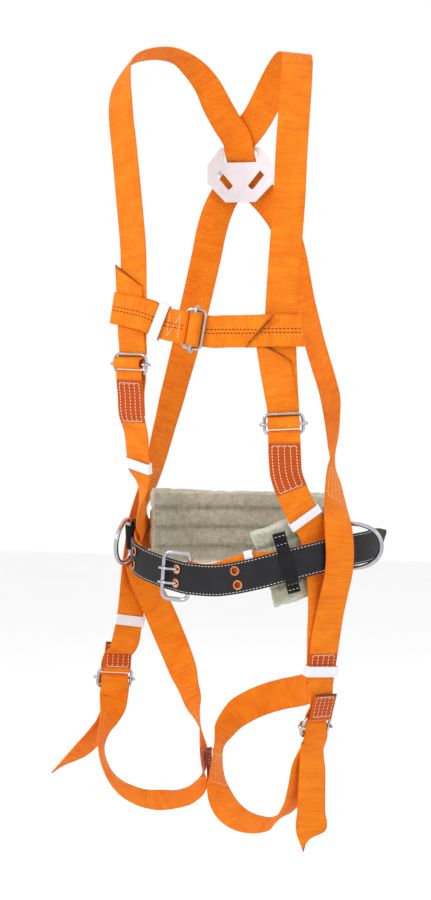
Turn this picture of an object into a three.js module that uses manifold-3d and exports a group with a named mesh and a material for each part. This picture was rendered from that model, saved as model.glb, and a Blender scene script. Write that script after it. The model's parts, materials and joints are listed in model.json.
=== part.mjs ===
// A full-body safety harness with a padded work-positioning belt, laid out as it hangs on a wearer.
// Millimetres, +Z up. The wearer faces -Y, so +X is the wearer's left. The origin is the point midway
// between the tops of the two shoulder straps, where a hook or a wearer's shoulders hold the harness up.
import * as THREE from "three";
import { mergeVertices } from "three/addons/utils/BufferGeometryUtils.js";
import Module from "manifold-3d";

const wasm = await Module();
wasm.setup();

// ---------- Driving dimensions ----------

// The figure that the harness is laid out on. Every hand-placed station is stretched with it.
const nominalFigure = { width: 360, depth: 235, height: 1120 };
const figureWidth = 360; // across the belt
const figureDepth = 235; // front to back at the belt
const figureHeight = 1120; // shoulder tops to the lowest strap end

const webbingWidth = 44;
const webbingThickness = 2;
const plyGap = 0.8; // between two plies that are sewn or laid on each other
const bend = 30; // longest straight step along a strap
const turnPerStep = 16; // degrees that a strap may turn between two stations

const buckleWidth = 58; // outside, of the five wire adjusters
const buckleHeight = 32;
const buckleWire = 4.6;
const buckleCorner = 6;
const slideClearance = 0.4; // slider bar's curled ends round the frame's side wires
const wrapClearance = 2.4; // webbing round the slider bar, which travels in it
const loopClearance = 1; // sewn loop round the frame's lower bar
const sewnLoopLength = 58;

const ringHeight = 70; // outside, of the side D-rings
const ringReach = 54; // from the straight bar's centre to the outside of the bow
const ringWire = 7;
const dorsalRingWidth = 82;
const dorsalRingReach = 60;
const tabWidth = 36; // webbing tab that holds a side D-ring

const plateWidth = 100;
const plateHeight = 80;
const plateThickness = 3;
const plateSlotWidth = 50;
const plateSlotHeight = 16;
const windowLength = 30; // the two slanted windows
const windowWidth = 9.5;

const leatherWidth = 44;
const leatherThickness = 3;
const leatherGap = 2.2; // behind the leather, where grommets and keepers need room
const grommetOuter = 14;
const grommetHole = 9.2;
const grommetFlange = 0.6;
const grommetSpacing = 92;
const grommetPairPitch = 20;

const beltBuckleHeight = 72;
const beltBuckleWidth = 44.4;
const beltBuckleWire = 6.4;
const prongWire = 3.6;

const cushionHeight = 115;
const cushionThickness = 12;
const cushionGap = 5; // room between cushion and belt webbing, for a strap to pass

const keeperLength = 15;
const keeperWall = 1.6;
const keeperClearance = 1.1;

const beltLoopWidth = 18;
const beltLoopThickness = 1.6;

// ---------- Materials ----------

const material = (color, roughness, metalness = 0) =>
  new THREE.MeshStandardMaterial({ color, roughness, metalness });
const orangeWebbing = material(0xf47a12, 0.8);
const blackLeather = material(0x17161a, 0.5);
const blackWebbing = material(0x1b1a1c, 0.8);
const canvas = material(0xb7b5a0, 0.95);
const whitePlastic = material(0xf1eff4, 0.45);
const zincWire = material(0xc8ccd2, 0.25, 1);
const copper = material(0xb8693c, 0.35, 1);

// ---------- Small helpers ----------

const stretchX = figureWidth / nominalFigure.width;
const stretchY = figureDepth / nominalFigure.depth;
const stretchZ = figureHeight / nominalFigure.height;

const vec = (x, y, z) => new THREE.Vector3(x, y, z);
const place = (x, y, z) => vec(x * stretchX, y * stretchY, z * stretchZ);

// A station of a strap: where its middle is, and which way its width runs.
const station = ([x, y, z, wx, wy, wz]) => ({ p: place(x, y, z), w: vec(wx, wy, wz) });
const stations = (rows) => rows.map(station);

// The same station moved off its outer face and sideways along its width.
const shifted = (s, out, side) => {
  const face = vec(s.w.y, -s.w.x, 0).normalize();
  const across = s.w.clone().normalize();
  return { p: s.p.clone().addScaledVector(face, out).addScaledVector(across, side), w: s.w.clone() };
};

// A flat frame of reference: x across, y along, z out of its face.
function localFrame(origin, along, across) {
  const a = along.clone().normalize();
  const w = across.clone().addScaledVector(a, -across.dot(a)).normalize();
  const n = w.clone().cross(a);
  const at = (x, y, z) =>
    origin.clone().addScaledVector(w, x).addScaledVector(a, y).addScaledVector(n, z);
  const row = (y, z, x = 0) => ({ p: at(x, y, z), w: w.clone() });
  const matrix = new THREE.Matrix4().makeBasis(w, a, n).setPosition(origin);
  return { origin, a, w, n, at, row, matrix };
}

const model = new THREE.Group();

function addMesh(name, geometry, look, matrix) {
  const mesh = new THREE.Mesh(geometry, look);
  mesh.name = name;
  if (matrix) mesh.applyMatrix4(matrix);
  model.add(mesh);
  return mesh;
}

function bare(geometry) {
  const g = geometry.clone();
  for (const name of Object.keys(g.attributes)) if (name !== "position") g.deleteAttribute(name);
  return mergeVertices(g, 1e-4);
}

function toSolid(geometry) {
  const g = bare(geometry);
  const mesh = new wasm.Mesh({
    numProp: 3,
    vertProperties: new Float32Array(g.attributes.position.array),
    triVerts: new Uint32Array(g.index.array),
  });
  return new wasm.Manifold(mesh);
}

function toGeometry(solid) {
  const mesh = solid.getMesh();
  const points = new Float32Array(mesh.numVert * 3);
  for (let i = 0; i < mesh.numVert; i++) {
    points.set(mesh.vertProperties.subarray(i * mesh.numProp, i * mesh.numProp + 3), i * 3);
  }
  const g = new THREE.BufferGeometry();
  g.setAttribute("position", new THREE.BufferAttribute(points, 3));
  g.setIndex(new THREE.BufferAttribute(new Uint32Array(mesh.triVerts), 1));
  return g;
}

// ---------- Straps ----------

// Chooses the stations along a route: often where it bends or twists, seldom where it is straight.
function walk(rows, turnLimit = turnPerStep) {
  const centre = new THREE.CatmullRomCurve3(rows.map((r) => r.p), false, "centripetal");
  const last = rows.length - 1;
  const widths = rows.map((r) => r.w.clone().normalize());
  for (let i = last - 1; i >= 0; i--) if (widths[i].dot(widths[i + 1]) < 0) widths[i].negate();
  const widthAt = (t) => {
    const i = Math.min(Math.floor(t * last), last - 1);
    const share = t * last - i;
    const eased = share * share * (3 - 2 * share);
    return widths[i].clone().lerp(widths[i + 1], eased);
  };
  const frameAt = (t) => {
    const p = centre.getPoint(t);
    const tangent = centre.getTangent(t).normalize();
    const w = widthAt(t);
    w.addScaledVector(tangent, -w.dot(tangent)).normalize();
    return { p, tangent, w, n: w.clone().cross(tangent) };
  };
  const fine = last * 24;
  const chosen = [frameAt(0)];
  let run = 0;
  let before = chosen[0];
  for (let i = 1; i <= fine; i++) {
    const here = frameAt(i / fine);
    run += here.p.distanceTo(before.p);
    const from = chosen[chosen.length - 1];
    const turn = THREE.MathUtils.radToDeg(
      Math.max(here.tangent.angleTo(from.tangent), here.w.angleTo(from.w)),
    );
    if (i === fine || run > bend || (turn > turnLimit && run > 1.2)) {
      chosen.push(here);
      run = 0;
    }
    before = here;
  }
  return chosen;
}

// Both faces of a strap are split along the same diagonals, so a twisted stretch keeps its thickness.
function splitAlike(box) {
  const { index, groups } = box;
  const underside = groups[3];
  for (let i = underside.start; i < underside.start + underside.count; i += 6) {
    const [a, b, d, , c] = [0, 1, 2, 3, 4].map((k) => index.getX(i + k));
    [a, b, c, a, c, d].forEach((corner, k) => index.setX(i + k, corner));
  }
  return box;
}

// A strap of rectangular section along a route. cut slants its last end, as a heat-cut tail is.
function strap(rows, options = {}) {
  const { width = webbingWidth, thickness = webbingThickness, cut = 0, tip = 0, turn } = options;
  const frames = walk(rows, turn);
  const steps = frames.length - 1;
  const g = bare(splitAlike(new THREE.BoxGeometry(width, thickness, 1, 1, 1, steps)));
  const position = g.attributes.position;
  for (let i = 0; i < position.count; i++) {
    const x = position.getX(i);
    const y = position.getY(i);
    const f = frames[Math.round((position.getZ(i) + 0.5) * steps)];
    const atEnd = f === frames[steps];
    const side = atEnd && tip ? x * 0.12 + width * 0.18 : x;
    const extra = atEnd ? (cut * x) / width + tip : 0;
    const p = f.p.clone().addScaledVector(f.w, side).addScaledVector(f.n, -y);
    p.addScaledVector(f.tangent, extra);
    position.setXYZ(i, p.x, p.y, p.z);
  }
  return g;
}

function addStrap(name, rows, options, look = orangeWebbing) {
  return addMesh(name, strap(rows, options), look);
}

// ---------- Wire pieces ----------

// A closed ring of round wire along a flat outline.
function wireRing(outline, wire, steps, sides = 8) {
  const points = outline.getSpacedPoints(steps).slice(0, -1);
  const path = new THREE.CatmullRomCurve3(points.map((p) => vec(p.x, p.y, 0)), true, "centripetal");
  return bare(new THREE.TubeGeometry(path, steps, wire / 2, sides, true));
}

// A rod of round wire along points in one plane.
function wireRod(points, wire, steps, sides = 8) {
  const section = new THREE.Shape();
  section.absarc(0, 0, wire / 2, 0, Math.PI * 2);
  const path = new THREE.CatmullRomCurve3(points, false, "centripetal");
  const options = { steps, curveSegments: sides / 2, extrudePath: path, bevelEnabled: false };
  return bare(new THREE.ExtrudeGeometry(section, options));
}

function roundedRectangle(width, height, radius) {
  const x = width / 2;
  const y = height / 2;
  const shape = new THREE.Shape();
  shape.moveTo(0, -y);
  shape.lineTo(x - radius, -y);
  shape.absarc(x - radius, -y + radius, radius, -Math.PI / 2, 0);
  shape.absarc(x - radius, y - radius, radius, 0, Math.PI / 2);
  shape.absarc(-x + radius, y - radius, radius, Math.PI / 2, Math.PI);
  shape.absarc(-x + radius, -y + radius, radius, Math.PI, Math.PI * 1.5);
  shape.lineTo(0, -y);
  return shape;
}

const wireRadius = buckleWire / 2;
const barPitch = (buckleHeight - buckleWire) / 2; // frame centre to its upper or lower bar
const sideWire = (buckleWidth - buckleWire) / 2;
const sliderRise = buckleWire + slideClearance;
const plyPitch = webbingThickness + plyGap;
const tailDepth = wireRadius + plyGap + webbingThickness / 2;
const mainDepth = tailDepth + plyPitch;
const wrapRadius = wireRadius + wrapClearance + webbingThickness / 2;
const loopRadius = wireRadius + loopClearance + webbingThickness / 2;

// A wire adjuster: a frame with a sliding bar whose ends curl round the frame's side wires.
// y runs towards the bar that carries the sewn loop.
function addAdjuster(name, f) {
  const outline = roundedRectangle(buckleWidth - buckleWire, buckleHeight - buckleWire, buckleCorner);
  addMesh(name + "_frame", wireRing(outline, buckleWire, 32), zincWire, f.matrix);
  const half = [];
  half.push(vec(0, 0, sliderRise), vec(sideWire * 0.5, 0, sliderRise));
  for (let degrees = 90; degrees >= -90; degrees -= 30) {
    const angle = THREE.MathUtils.degToRad(degrees);
    half.push(vec(sideWire + sliderRise * Math.cos(angle), 0, sliderRise * Math.sin(angle)));
  }
  const mirrored = half.slice(1).map((p) => vec(-p.x, p.y, p.z)).reverse();
  addMesh(name + "_slider", wireRod([...mirrored, ...half], buckleWire, 28), zincWire, f.matrix);
}

// The strap's way through an adjuster: behind the upper bar, round the slider, and back as the tail.
function threaded(f, approach, exit) {
  const rows = [];
  if (approach) rows.push(f.row(-approach, -mainDepth));
  rows.push(f.row(-barPitch - 5, -mainDepth));
  rows.push(f.row(-barPitch + 3.5, -mainDepth + 0.8));
  rows.push(f.row(-wrapRadius * 0.9, sliderRise - wrapRadius * 0.95 - 1.6));
  for (let degrees = -70; degrees <= 95; degrees += 27.5) {
    const angle = THREE.MathUtils.degToRad(degrees);
    rows.push(f.row(wrapRadius * Math.cos(angle), sliderRise + wrapRadius * Math.sin(angle)));
  }
  rows.push(f.row(-barPitch * 0.5, sliderRise + wrapRadius * 0.62));
  rows.push(f.row(-barPitch * 0.64, wireRadius * 0.9));
  rows.push(f.row(-barPitch * 0.8, -tailDepth + 0.4));
  rows.push(f.row(-barPitch - 5, -tailDepth));
  if (exit) rows.push(f.row(-exit, -tailDepth));
  return rows;
}

// A sewn loop round a bar at (y, z) of a frame: the under ply, over the bar, to the outer ply.
function sewnLoop(f, y, z, { radius = loopRadius, under = sewnLoopLength, over = 0, away = 1 } = {}) {
  const rows = [];
  const half = plyPitch / 2;
  rows.push(f.row(y + away * under, z - half));
  rows.push(f.row(y + away * radius * 4.4, z - half));
  rows.push(f.row(y + away * radius * 1.7, z - radius * 0.82));
  for (let degrees = -90; degrees <= 90; degrees += 30) {
    const angle = THREE.MathUtils.degToRad(degrees);
    const reach = -away * radius * Math.cos(angle);
    rows.push(f.row(y + reach, z + radius * Math.sin(angle)));
  }
  rows.push(f.row(y + away * radius * 1.7, z + radius * 0.82));
  rows.push(f.row(y + away * radius * 4.4, z + half));
  if (over) rows.push(f.row(y + away * over, z + half));
  return rows;
}

// ---------- Where the adjusters sit ----------

// An adjuster whose incoming strap keeps to its own line: the frame stands off that line by its depth.
function hungOn(point, along, across) {
  const f = localFrame(point, along, across);
  return localFrame(f.at(0, 0, mainDepth), along, across);
}
const chestRightFrame = hungOn(place(-111, -118, -441), vec(0, 0.07, -1), vec(-0.94, 0.33, 0.08));
const chestLeftFrame = hungOn(place(104, -118, -522), vec(0.03, 0.06, -1), vec(-0.97, -0.22, -0.1));
const sternumFrame = hungOn(place(-18, -130, -393), vec(-0.98, 0.05, 0.17), vec(0.17, 0, 0.98));
const legRightFrame = hungOn(place(-180, 18, -906), vec(0.13, 0.02, 1), vec(-0.75, -0.66, -0.05));
const legLeftFrame = hungOn(place(141, -57, -952), vec(0.3, -0.1, 0.95), vec(-0.5, -0.85, 0.1));

addAdjuster("shoulder_adjuster_right", chestRightFrame);
addAdjuster("shoulder_adjuster_left", chestLeftFrame);
addAdjuster("chest_buckle", sternumFrame);
addAdjuster("leg_buckle_right", legRightFrame);
addAdjuster("leg_buckle_left", legLeftFrame);

// ---------- Belt line ----------

// The closed line that the belt webbing follows, from the buckle's pivot bar towards the wearer's left.
const beltStations = [
  [-36, -101, -740], [10, -112, -741], [60, -115, -731], [110, -107, -717], [147, -88, -707],
  [164, -57, -700], [167, -18, -695], [164, 22, -689], [151, 60, -684], [124, 90, -681],
  [80, 108, -680], [15, 116, -680], [-55, 110, -682], [-108, 84, -686], [-136, 42, -693],
  [-142, -5, -703], [-127, -47, -719], [-84, -80, -732],
];
const beltLine = new THREE.CatmullRomCurve3(
  beltStations.map(([x, y, z]) => place(x, y, z)), true, "centripetal",
);
beltLine.arcLengthDivisions = 800;
const beltLength = beltLine.getLength();

// A frame on the belt line, at a distance from the pivot bar: x up, y towards the wearer's right, z out.
function onBelt(distance, lift = 0) {
  const share = THREE.MathUtils.euclideanModulo(distance / beltLength, 1);
  const p = beltLine.getPointAt(share);
  const along = beltLine.getTangentAt(share).negate();
  p.z += lift;
  return localFrame(p, along, vec(0, 0, 1));
}

// Rows of a band that runs along the belt, with its offset and lift as functions of distance.
function beltRows(from, to, step, offsetAt, liftAt = () => 0) {
  const count = Math.ceil(Math.abs(to - from) / step);
  const rows = [];
  for (let i = 0; i <= count; i++) {
    const d = from + ((to - from) * i) / count;
    const f = onBelt(d, liftAt(d));
    rows.push({ p: f.at(0, 0, offsetAt(d)), w: f.w.clone() });
  }
  return rows;
}

const beltBuckleRadius = beltBuckleWire / 2;
const pivotOffset = -plyPitch / 2; // the pivot bar lies midway between the webbing's two plies
const leatherOffset = webbingThickness / 2 + leatherGap + leatherThickness / 2;
const leatherOuter = leatherOffset + leatherThickness / 2;
const leatherRise = 4; // how far the pivot bar and the prong eyes lift the leather
const keeperRise = 2.2; // and the keeper on the webbing
const beltKeeperAt = 97;
const leatherAt = (d) =>
  leatherOffset +
  leatherRise * Math.exp(-((d / 14) ** 2)) +
  keeperRise * Math.exp(-(((d - beltKeeperAt) / 15) ** 2));
const leatherFrom = -132;
const leatherLeaves = 150; // from here on the leather stands clear of the webbing

const webbingOverlap = 34; // sewn overlap of the leather's root on the webbing's end

// ---------- Dorsal plate ----------

const plateFrame = localFrame(place(-11, 92, -167), vec(0, 0, 1), vec(-1, 0, 0)); // z points backwards
const slotY = 26; // slot's middle above the plate's middle

function slottedPlate() {
  const x = plateWidth / 2;
  const y = plateHeight / 2;
  const outline = [
    [0.6 * x, y], [x, 0.36 * y], [x, -0.3 * y], [0.45 * x, -y],
    [-0.45 * x, -y], [-x, -0.3 * y], [-x, 0.36 * y], [-0.6 * x, y],
  ].map(([a, b]) => new THREE.Vector2(a, b));
  const shape = new THREE.Shape(outline);
  const slot = roundedRectangle(plateSlotWidth, plateSlotHeight, 3);
  shape.holes.push(new THREE.Path(slot.getPoints(3).map((p) => vec2(p.x, p.y + slotY))));
  for (const side of [-1, 1]) {
    const pane = roundedRectangle(windowLength, windowWidth, 2.5).getPoints(3);
    const turn = side * THREE.MathUtils.degToRad(50);
    const middle = vec2(side * 0.48 * x, -0.2 * y);
    shape.holes.push(new THREE.Path(pane.map((p) => p.clone().rotateAround(vec2(0, 0), turn).add(middle))));
  }
  const plate = new THREE.ExtrudeGeometry(shape, { depth: plateThickness, bevelEnabled: false });
  return bare(plate.translate(0, 0, -plateThickness / 2));
}

function vec2(x, y) {
  return new THREE.Vector2(x, y);
}

addMesh("dorsal_plate", slottedPlate(), whitePlastic, plateFrame.matrix);

// ---------- D-rings ----------

// A D in its own plane: the straight bar on the y axis, the bow towards +x.
function dOutline(height, reach, corner) {
  const y = height / 2;
  const shape = new THREE.Shape();
  shape.moveTo(0, 0);
  shape.lineTo(0, -y + corner);
  shape.absarc(corner, -y + corner, corner, Math.PI, Math.PI * 1.5);
  shape.bezierCurveTo(reach * 0.66, -y, reach, -y * 0.62, reach, 0);
  shape.bezierCurveTo(reach, y * 0.62, reach * 0.66, y, corner, y);
  shape.absarc(corner, y - corner, corner, Math.PI * 0.5, Math.PI);
  shape.lineTo(0, 0);
  return shape;
}

const ringRadius = ringWire / 2;
const tabLoopRadius = ringRadius + plyGap + webbingThickness / 2;

// A side D-ring on its upright bar, pointing along a heading seen from above, and the tab that holds it:
// inner is how far the tab's first ply stands off the belt line.
function addSideRing(name, distance, lift, inner, heading, reach) {
  const f = onBelt(distance, lift);
  const barOffset = inner + tabLoopRadius;
  const ringFrame = localFrame(f.at(0, 0, barOffset), f.w, vec(heading[0], heading[1], 0));
  const outline = dOutline(ringHeight - ringWire, ringReach - ringRadius, 9);
  addMesh("side_d_ring_" + name, wireRing(outline, ringWire, 36), zincWire, ringFrame.matrix);
  const rows = [f.row(reach, inner), f.row(8, inner)];
  for (let degrees = -90; degrees <= 90; degrees += 30) {
    const angle = THREE.MathUtils.degToRad(degrees);
    rows.push(f.row(-tabLoopRadius * Math.cos(angle), barOffset + tabLoopRadius * Math.sin(angle)));
  }
  rows.push(f.row(8, barOffset + tabLoopRadius * 0.75));
  rows.push(f.row(Math.min(17, reach - 2), inner + plyPitch));
  rows.push(f.row(reach, inner + plyPitch));
  addStrap("d_ring_tab_" + name, rows, { width: tabWidth });
}

const tabOnWebbing = webbingThickness + plyGap;
addSideRing("right", -150, 12, tabOnWebbing, [-0.1, -0.99], 26);
addSideRing("left", 248, 2, tabOnWebbing, [0.98, 0.08], 26);

// The dorsal ring's bar lies just under the plate's slot, with both straps over it.
const dorsalBarY = slotY - plateSlotHeight / 2 - 9;
const dorsalBarZ = plateThickness / 2 + plyGap + ringRadius;
const dorsalHeading = THREE.MathUtils.degToRad(-18); // bow below the horizontal
const dorsalRingFrame = localFrame(
  plateFrame.at(0, dorsalBarY, dorsalBarZ),
  vec(1, 0, 0),
  vec(0, Math.cos(dorsalHeading), Math.sin(dorsalHeading)),
);
const dorsalOutline = dOutline(dorsalRingWidth - ringWire, dorsalRingReach - ringRadius, 7);
addMesh("dorsal_d_ring", wireRing(dorsalOutline, ringWire, 36), zincWire, dorsalRingFrame.matrix);

// ---------- Shoulder straps ----------

const strapOverBar = dorsalBarZ + ringRadius + plyGap + webbingThickness / 2;

// The way through the plate's slot and over the ring's bar. lane 0 is next to the bar, lane 1 on top of it;
// turn is -1 for the strap that leaves towards the wearer's right, and 1 for the left.
const lanePitch = webbingThickness + 1.7;
function throughPlate(lane, turn) {
  const up = lane * lanePitch;
  const at = (x, y, z) => ({ p: plateFrame.at(-x, y, z), w: vec(1, 0, 0) });
  return [
    at(-turn * 2, slotY + 22, -10 + up),
    at(0, slotY + 8, -8.4 + up * 0.97),
    at(0, slotY - 3.5 + up * 0.7, -0.6 + up * 0.72),
    at(0, slotY - 9 + up * 0.6, 5 + up * 0.8),
    at(turn * 1, dorsalBarY + 2, strapOverBar + up),
    at(turn * 3, dorsalBarY - 8, strapOverBar + up),
  ];
}

const rightShoulderFront = stations([
  [-111, -118, -400, 0.94, -0.33, -0.03],
  [-111, -118, -353, 0.95, -0.32, 0],
  [-113, -112, -283, 0.93, -0.36, 0],
  [-122, -102, -213, 0.93, -0.36, 0.05],
  [-133, -88, -142, 0.92, -0.39, 0.05],
  [-144, -70, -86, 0.9, -0.44, 0.05],
  [-150, -47, -44, 0.75, -0.66, 0.05],
  [-146, -22, -14, 0.4, -0.91, 0.1],
  [-126, 2, 1, 0.4, -0.88, 0.25],
  [-89, 34, 0, 0.6, -0.75, 0.3],
  [-57, 58, -33, 0.8, -0.4, 0.4],
  [-35, 70, -79, 0.92, -0.1, 0.38],
]);
const rightBackToLeg = stations([
  [4, 102.8, -181, 0.93, 0, 0.3],
  [20, 101, -196, 0.9, -0.1, 0.42],
  [50, 99, -236, 0.9, -0.2, 0.3],
  [67, 96, -286, 0.92, -0.3, 0.2],
  [85, 90, -358, 0.85, -0.48, 0.2],
  [107, 77, -423, 0.75, -0.62, 0.2],
  [134, 50, -495, 0.72, -0.67, 0.15],
  [143, 25, -545, 0.52, -0.84, 0.1],
  [149, 4, -572, 0.26, -0.95, 0.15],
  [154, -18, -597, -0.1, -0.95, 0.25],
  [163, -52, -630, -0.45, -0.85, 0.2],
]);

const rightTail = [
  shifted(rightShoulderFront[0], plyPitch, -2),
  shifted(rightShoulderFront[1], plyPitch, -4),
  shifted(station([-112, -115, -318, 0.94, -0.34, 0]), plyPitch, -6),
];
const tailCut = { cut: -36 };

// Over the belt at the wearer's left, outside the leather and the ring's tab, then down to the leg buckle.
const overBeltRows = stations([
  [174, -82, -674, -0.72, -0.69, 0],
  [176, -83.5, -698, -0.74, -0.67, 0],
  [175, -83, -724, -0.74, -0.67, 0],
]);
const leftThighRows = stations([
  [168, -78, -754, -0.74, -0.67, 0],
  [160, -71, -784, -0.75, -0.66, 0],
  [151, -64, -828, -0.78, -0.6, 0],
  [146, -60, -866, -0.72, -0.68, 0.05],
  [143, -59, -892, -0.62, -0.78, 0.05],
]);
const leftLegLoop = sewnLoop(legLeftFrame, barPitch, 0, { under: 36 }).reverse();

const rightShoulderRows = [
  ...leftLegLoop.reverse(),
  ...leftThighRows.reverse(),
  ...overBeltRows.reverse(),
  ...rightBackToLeg.reverse(),
  ...throughPlate(0, 1).reverse(),
  ...rightShoulderFront.reverse(),
  ...threaded(chestRightFrame),
  ...rightTail,
];
addStrap("shoulder_strap_right", rightShoulderRows, tailCut);

const leftShoulderFront = stations([
  [101, -118, -468, 0.97, 0.25, 0.05],
  [99, -118, -410, 0.97, 0.26, 0],
  [101, -117, -353, 0.97, 0.24, 0],
  [104, -110, -285, 0.96, 0.28, 0],
  [107, -100, -216, 0.95, 0.3, 0],
  [107, -86, -147, 0.95, 0.3, 0],
  [106, -66, -91, 0.94, 0.34, 0],
  [103, -38, -38, 0.92, 0.38, 0],
  [95, -6, -6, 0.87, 0.48, -0.05],
  [74, 28, -12, 0.87, 0.4, -0.25],
  [43, 58, -50, 0.87, 0.2, -0.42],
  [20, 76.5, -84, 0.9, 0.05, -0.42],
]);
const leftTail = [
  shifted(leftShoulderFront[0], plyPitch, -4),
  shifted(station([100, -118, -440, 0.97, 0.25, 0.03]), plyPitch, -8),
  shifted(station([99, -118, -421, 0.97, 0.25, 0.02]), plyPitch, -10),
];
const rightHipRows = stations([
  [-25, 108, -181, 0.93, 0, -0.3],
  [-38, 105.5, -196, 0.93, 0.05, -0.35],
  [-53, 101, -232, 0.95, 0.15, -0.25],
  [-66, 97, -293, 0.9, 0.4, -0.2],
  [-80, 91, -359, 0.85, 0.5, -0.2],
  [-93, 83, -420, 0.72, 0.68, -0.15],
  [-108, 73, -485, 0.62, 0.77, -0.15],
  [-122, 62, -548, 0.46, 0.88, -0.1],
  [-135, 52, -605, 0.35, 0.93, 0],
  [-154, 43, -660, 0.22, 0.97, 0],
  [-162, 38, -705, 0.15, 0.98, 0],
  [-162, 33, -745, 0.3, 0.95, 0],
  [-159, 28, -785, 0.66, 0.75, 0],
  [-162, 25, -820, 0.7, 0.71, 0],
  [-171, 21, -862, 0.74, 0.67, 0.03],
]);
const leftShoulderRows = [
  ...sewnLoop(legRightFrame, barPitch, 0, { under: 40 }),
  ...rightHipRows.reverse(),
  ...throughPlate(1, -1).reverse(),
  ...leftShoulderFront.reverse(),
  ...threaded(chestLeftFrame),
  ...leftTail,
];
addStrap("shoulder_strap_left", leftShoulderRows, tailCut);

// ---------- Front straps below the shoulder adjusters ----------

const betweenPads = -7.6; // a flat strap inside the curved webbing stands off it by its own half width
const inBelt = (distance, lift, out) => {
  const f = onBelt(distance, lift);
  return { p: f.at(0, 0, out), w: f.a.clone().negate() };
};

const rightFrontRows = [
  ...sewnLoop(chestRightFrame, barPitch, 0, { over: sewnLoopLength - 6 }),
  ...stations([
    [-110, -112, -533, 0.9, -0.42, 0],
    [-110, -103, -567, 0.86, -0.5, 0],
    [-111, -92, -597, 0.8, -0.6, 0],
    [-116, -72, -622, 0.4, -0.9, 0],
    [-125, -44, -646, 0.1, -0.95, -0.2],
    [-131, -16, -662, 0, -0.95, -0.3],
  ]),
  inBelt(-168, 24, betweenPads),
  inBelt(-180, 8, betweenPads),
];
addStrap("front_strap_right", rightFrontRows);

const leftFrontRows = [
  ...sewnLoop(chestLeftFrame, barPitch, 0, { over: sewnLoopLength - 6 }),
  ...stations([
    [123, -101, -640, 0.84, 0.52, 0],
  ]),
  inBelt(188, 36, betweenPads),
  inBelt(195, 12, betweenPads),
  inBelt(199, -10, betweenPads),
  inBelt(202, -34, betweenPads),
  ...stations([
    [149, -76, -768, 0.74, 0.67, 0],
    [146, -66, -812, 0.76, 0.65, 0],
    [142.8, -56.8, -862, 0.73, 0.68, 0],
    [141, -55.5, -888, 0.66, 0.75, 0],
  ]),
];
addStrap("front_strap_left", leftFrontRows);

// ---------- Leg straps: seat strap, crotch, and up to the leg buckle ----------

const tipCut = { cut: 18, tip: 16 };
const legMainRight = stations([
  [-150, 22, -728, 0.5, 0.8, 0.2],
  [-143, 34, -762, 0.6, 0.75, 0.25],
  [-127, 44, -797, 0.8, 0.5, 0.35],
  [-111, 51, -838, 0.88, 0.3, 0.38],
  [-94, 54, -880, 0.85, 0.0, 0.4],
  [-74, 47, -930, 0.75, -0.55, 0.35],
  [-58, 34, -968, 0.35, -0.92, 0.15],
  [-48, 22, -1002, 0, -1, 0],
  [-46, 13, -1032, 0.2, -0.98, 0],
  [-50, 3, -1054, 0.55, -0.83, -0.1],
  [-63, -15, -1066, 0.6, -0.75, -0.25],
  [-84, -38, -1068, 0.5, -0.76, -0.42],
  [-108, -56, -1066, 0.45, -0.76, -0.45],
  [-132, -64, -1057, 0.4, -0.82, -0.4],
  [-160, -60, -1038, 0.3, -0.93, -0.2],
  [-181, -44, -1010, 0.22, -0.97, 0],
  [-189, -26, -985, 0.1, -0.98, 0.05],
  [-185, -6, -958, -0.3, -0.93, 0.05],
]);
const legTailRight = stations([
  [-184, 8, -952, -0.5, -0.84, 0.1],
  [-199, 4, -978, -0.42, -0.88, 0.15],
  [-222, -4, -1005, -0.36, -0.9, 0.2],
  [-247, -12, -1029, -0.3, -0.92, 0.2],
]);
addStrap("leg_strap_right", [...legMainRight, ...threaded(legRightFrame, 28, 26), ...legTailRight], tipCut);

const legMainLeft = stations([
  [134, -38, -884, -0.2, 0.2, 0.96],
  [120, -24, -899, -0.2, 0.25, 0.95],
  [100, -2, -909, -0.2, 0.2, 0.95],
  [70, 24, -919, -0.25, 0.1, 0.95],
  [35, 38, -932, -0.35, -0.1, 0.9],
  [2, 39, -950, -0.6, -0.35, 0.7],
  [-18, 32, -974, -0.5, -0.85, 0.2],
  [-26, 22, -1002, 0, -1, 0],
  [-25, 13, -1032, -0.1, -0.98, 0],
  [-19, 0, -1056, -0.35, -0.93, -0.1],
  [-4, -22, -1076, -0.4, -0.85, -0.3],
  [20, -46, -1088, -0.35, -0.86, -0.38],
  [48, -62, -1092, -0.2, -0.9, -0.35],
  [75, -70, -1088, 0.1, -0.95, -0.2],
  [97, -73, -1070, -0.2, -0.96, 0.1],
  [113, -71, -1042, -0.5, -0.86, 0.1],
  [120, -66, -1010, -0.6, -0.8, 0],
]);
const legTailLeft = stations([
  [134, -68, -1012, -0.65, -0.76, 0],
  [134, -73, -1054, -0.75, -0.66, 0],
  [133, -74, -1098, -0.75, -0.66, 0],
]);
addStrap("leg_strap_left", [...legMainLeft, ...threaded(legLeftFrame, 26, 24), ...legTailLeft], tipCut);

// The short strap that ties the two leg straps together at the crotch.
addStrap("crotch_link", stations([
  [-40.5, 25, -1002, 0, -1, 0],
  [-39.5, 22, -1028, 0, -1, 0],
  [-38.5, 22, -1050, 0, -1, 0],
  [-35, 22, -1059, 0, -1, 0],
  [-31.5, 22, -1050, 0, -1, 0],
  [-30.5, 22, -1028, 0, -1, 0],
  [-31.5, 25, -1002, 0, -1, 0],
]), { width: 24 });

// ---------- Chest strap ----------

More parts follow.
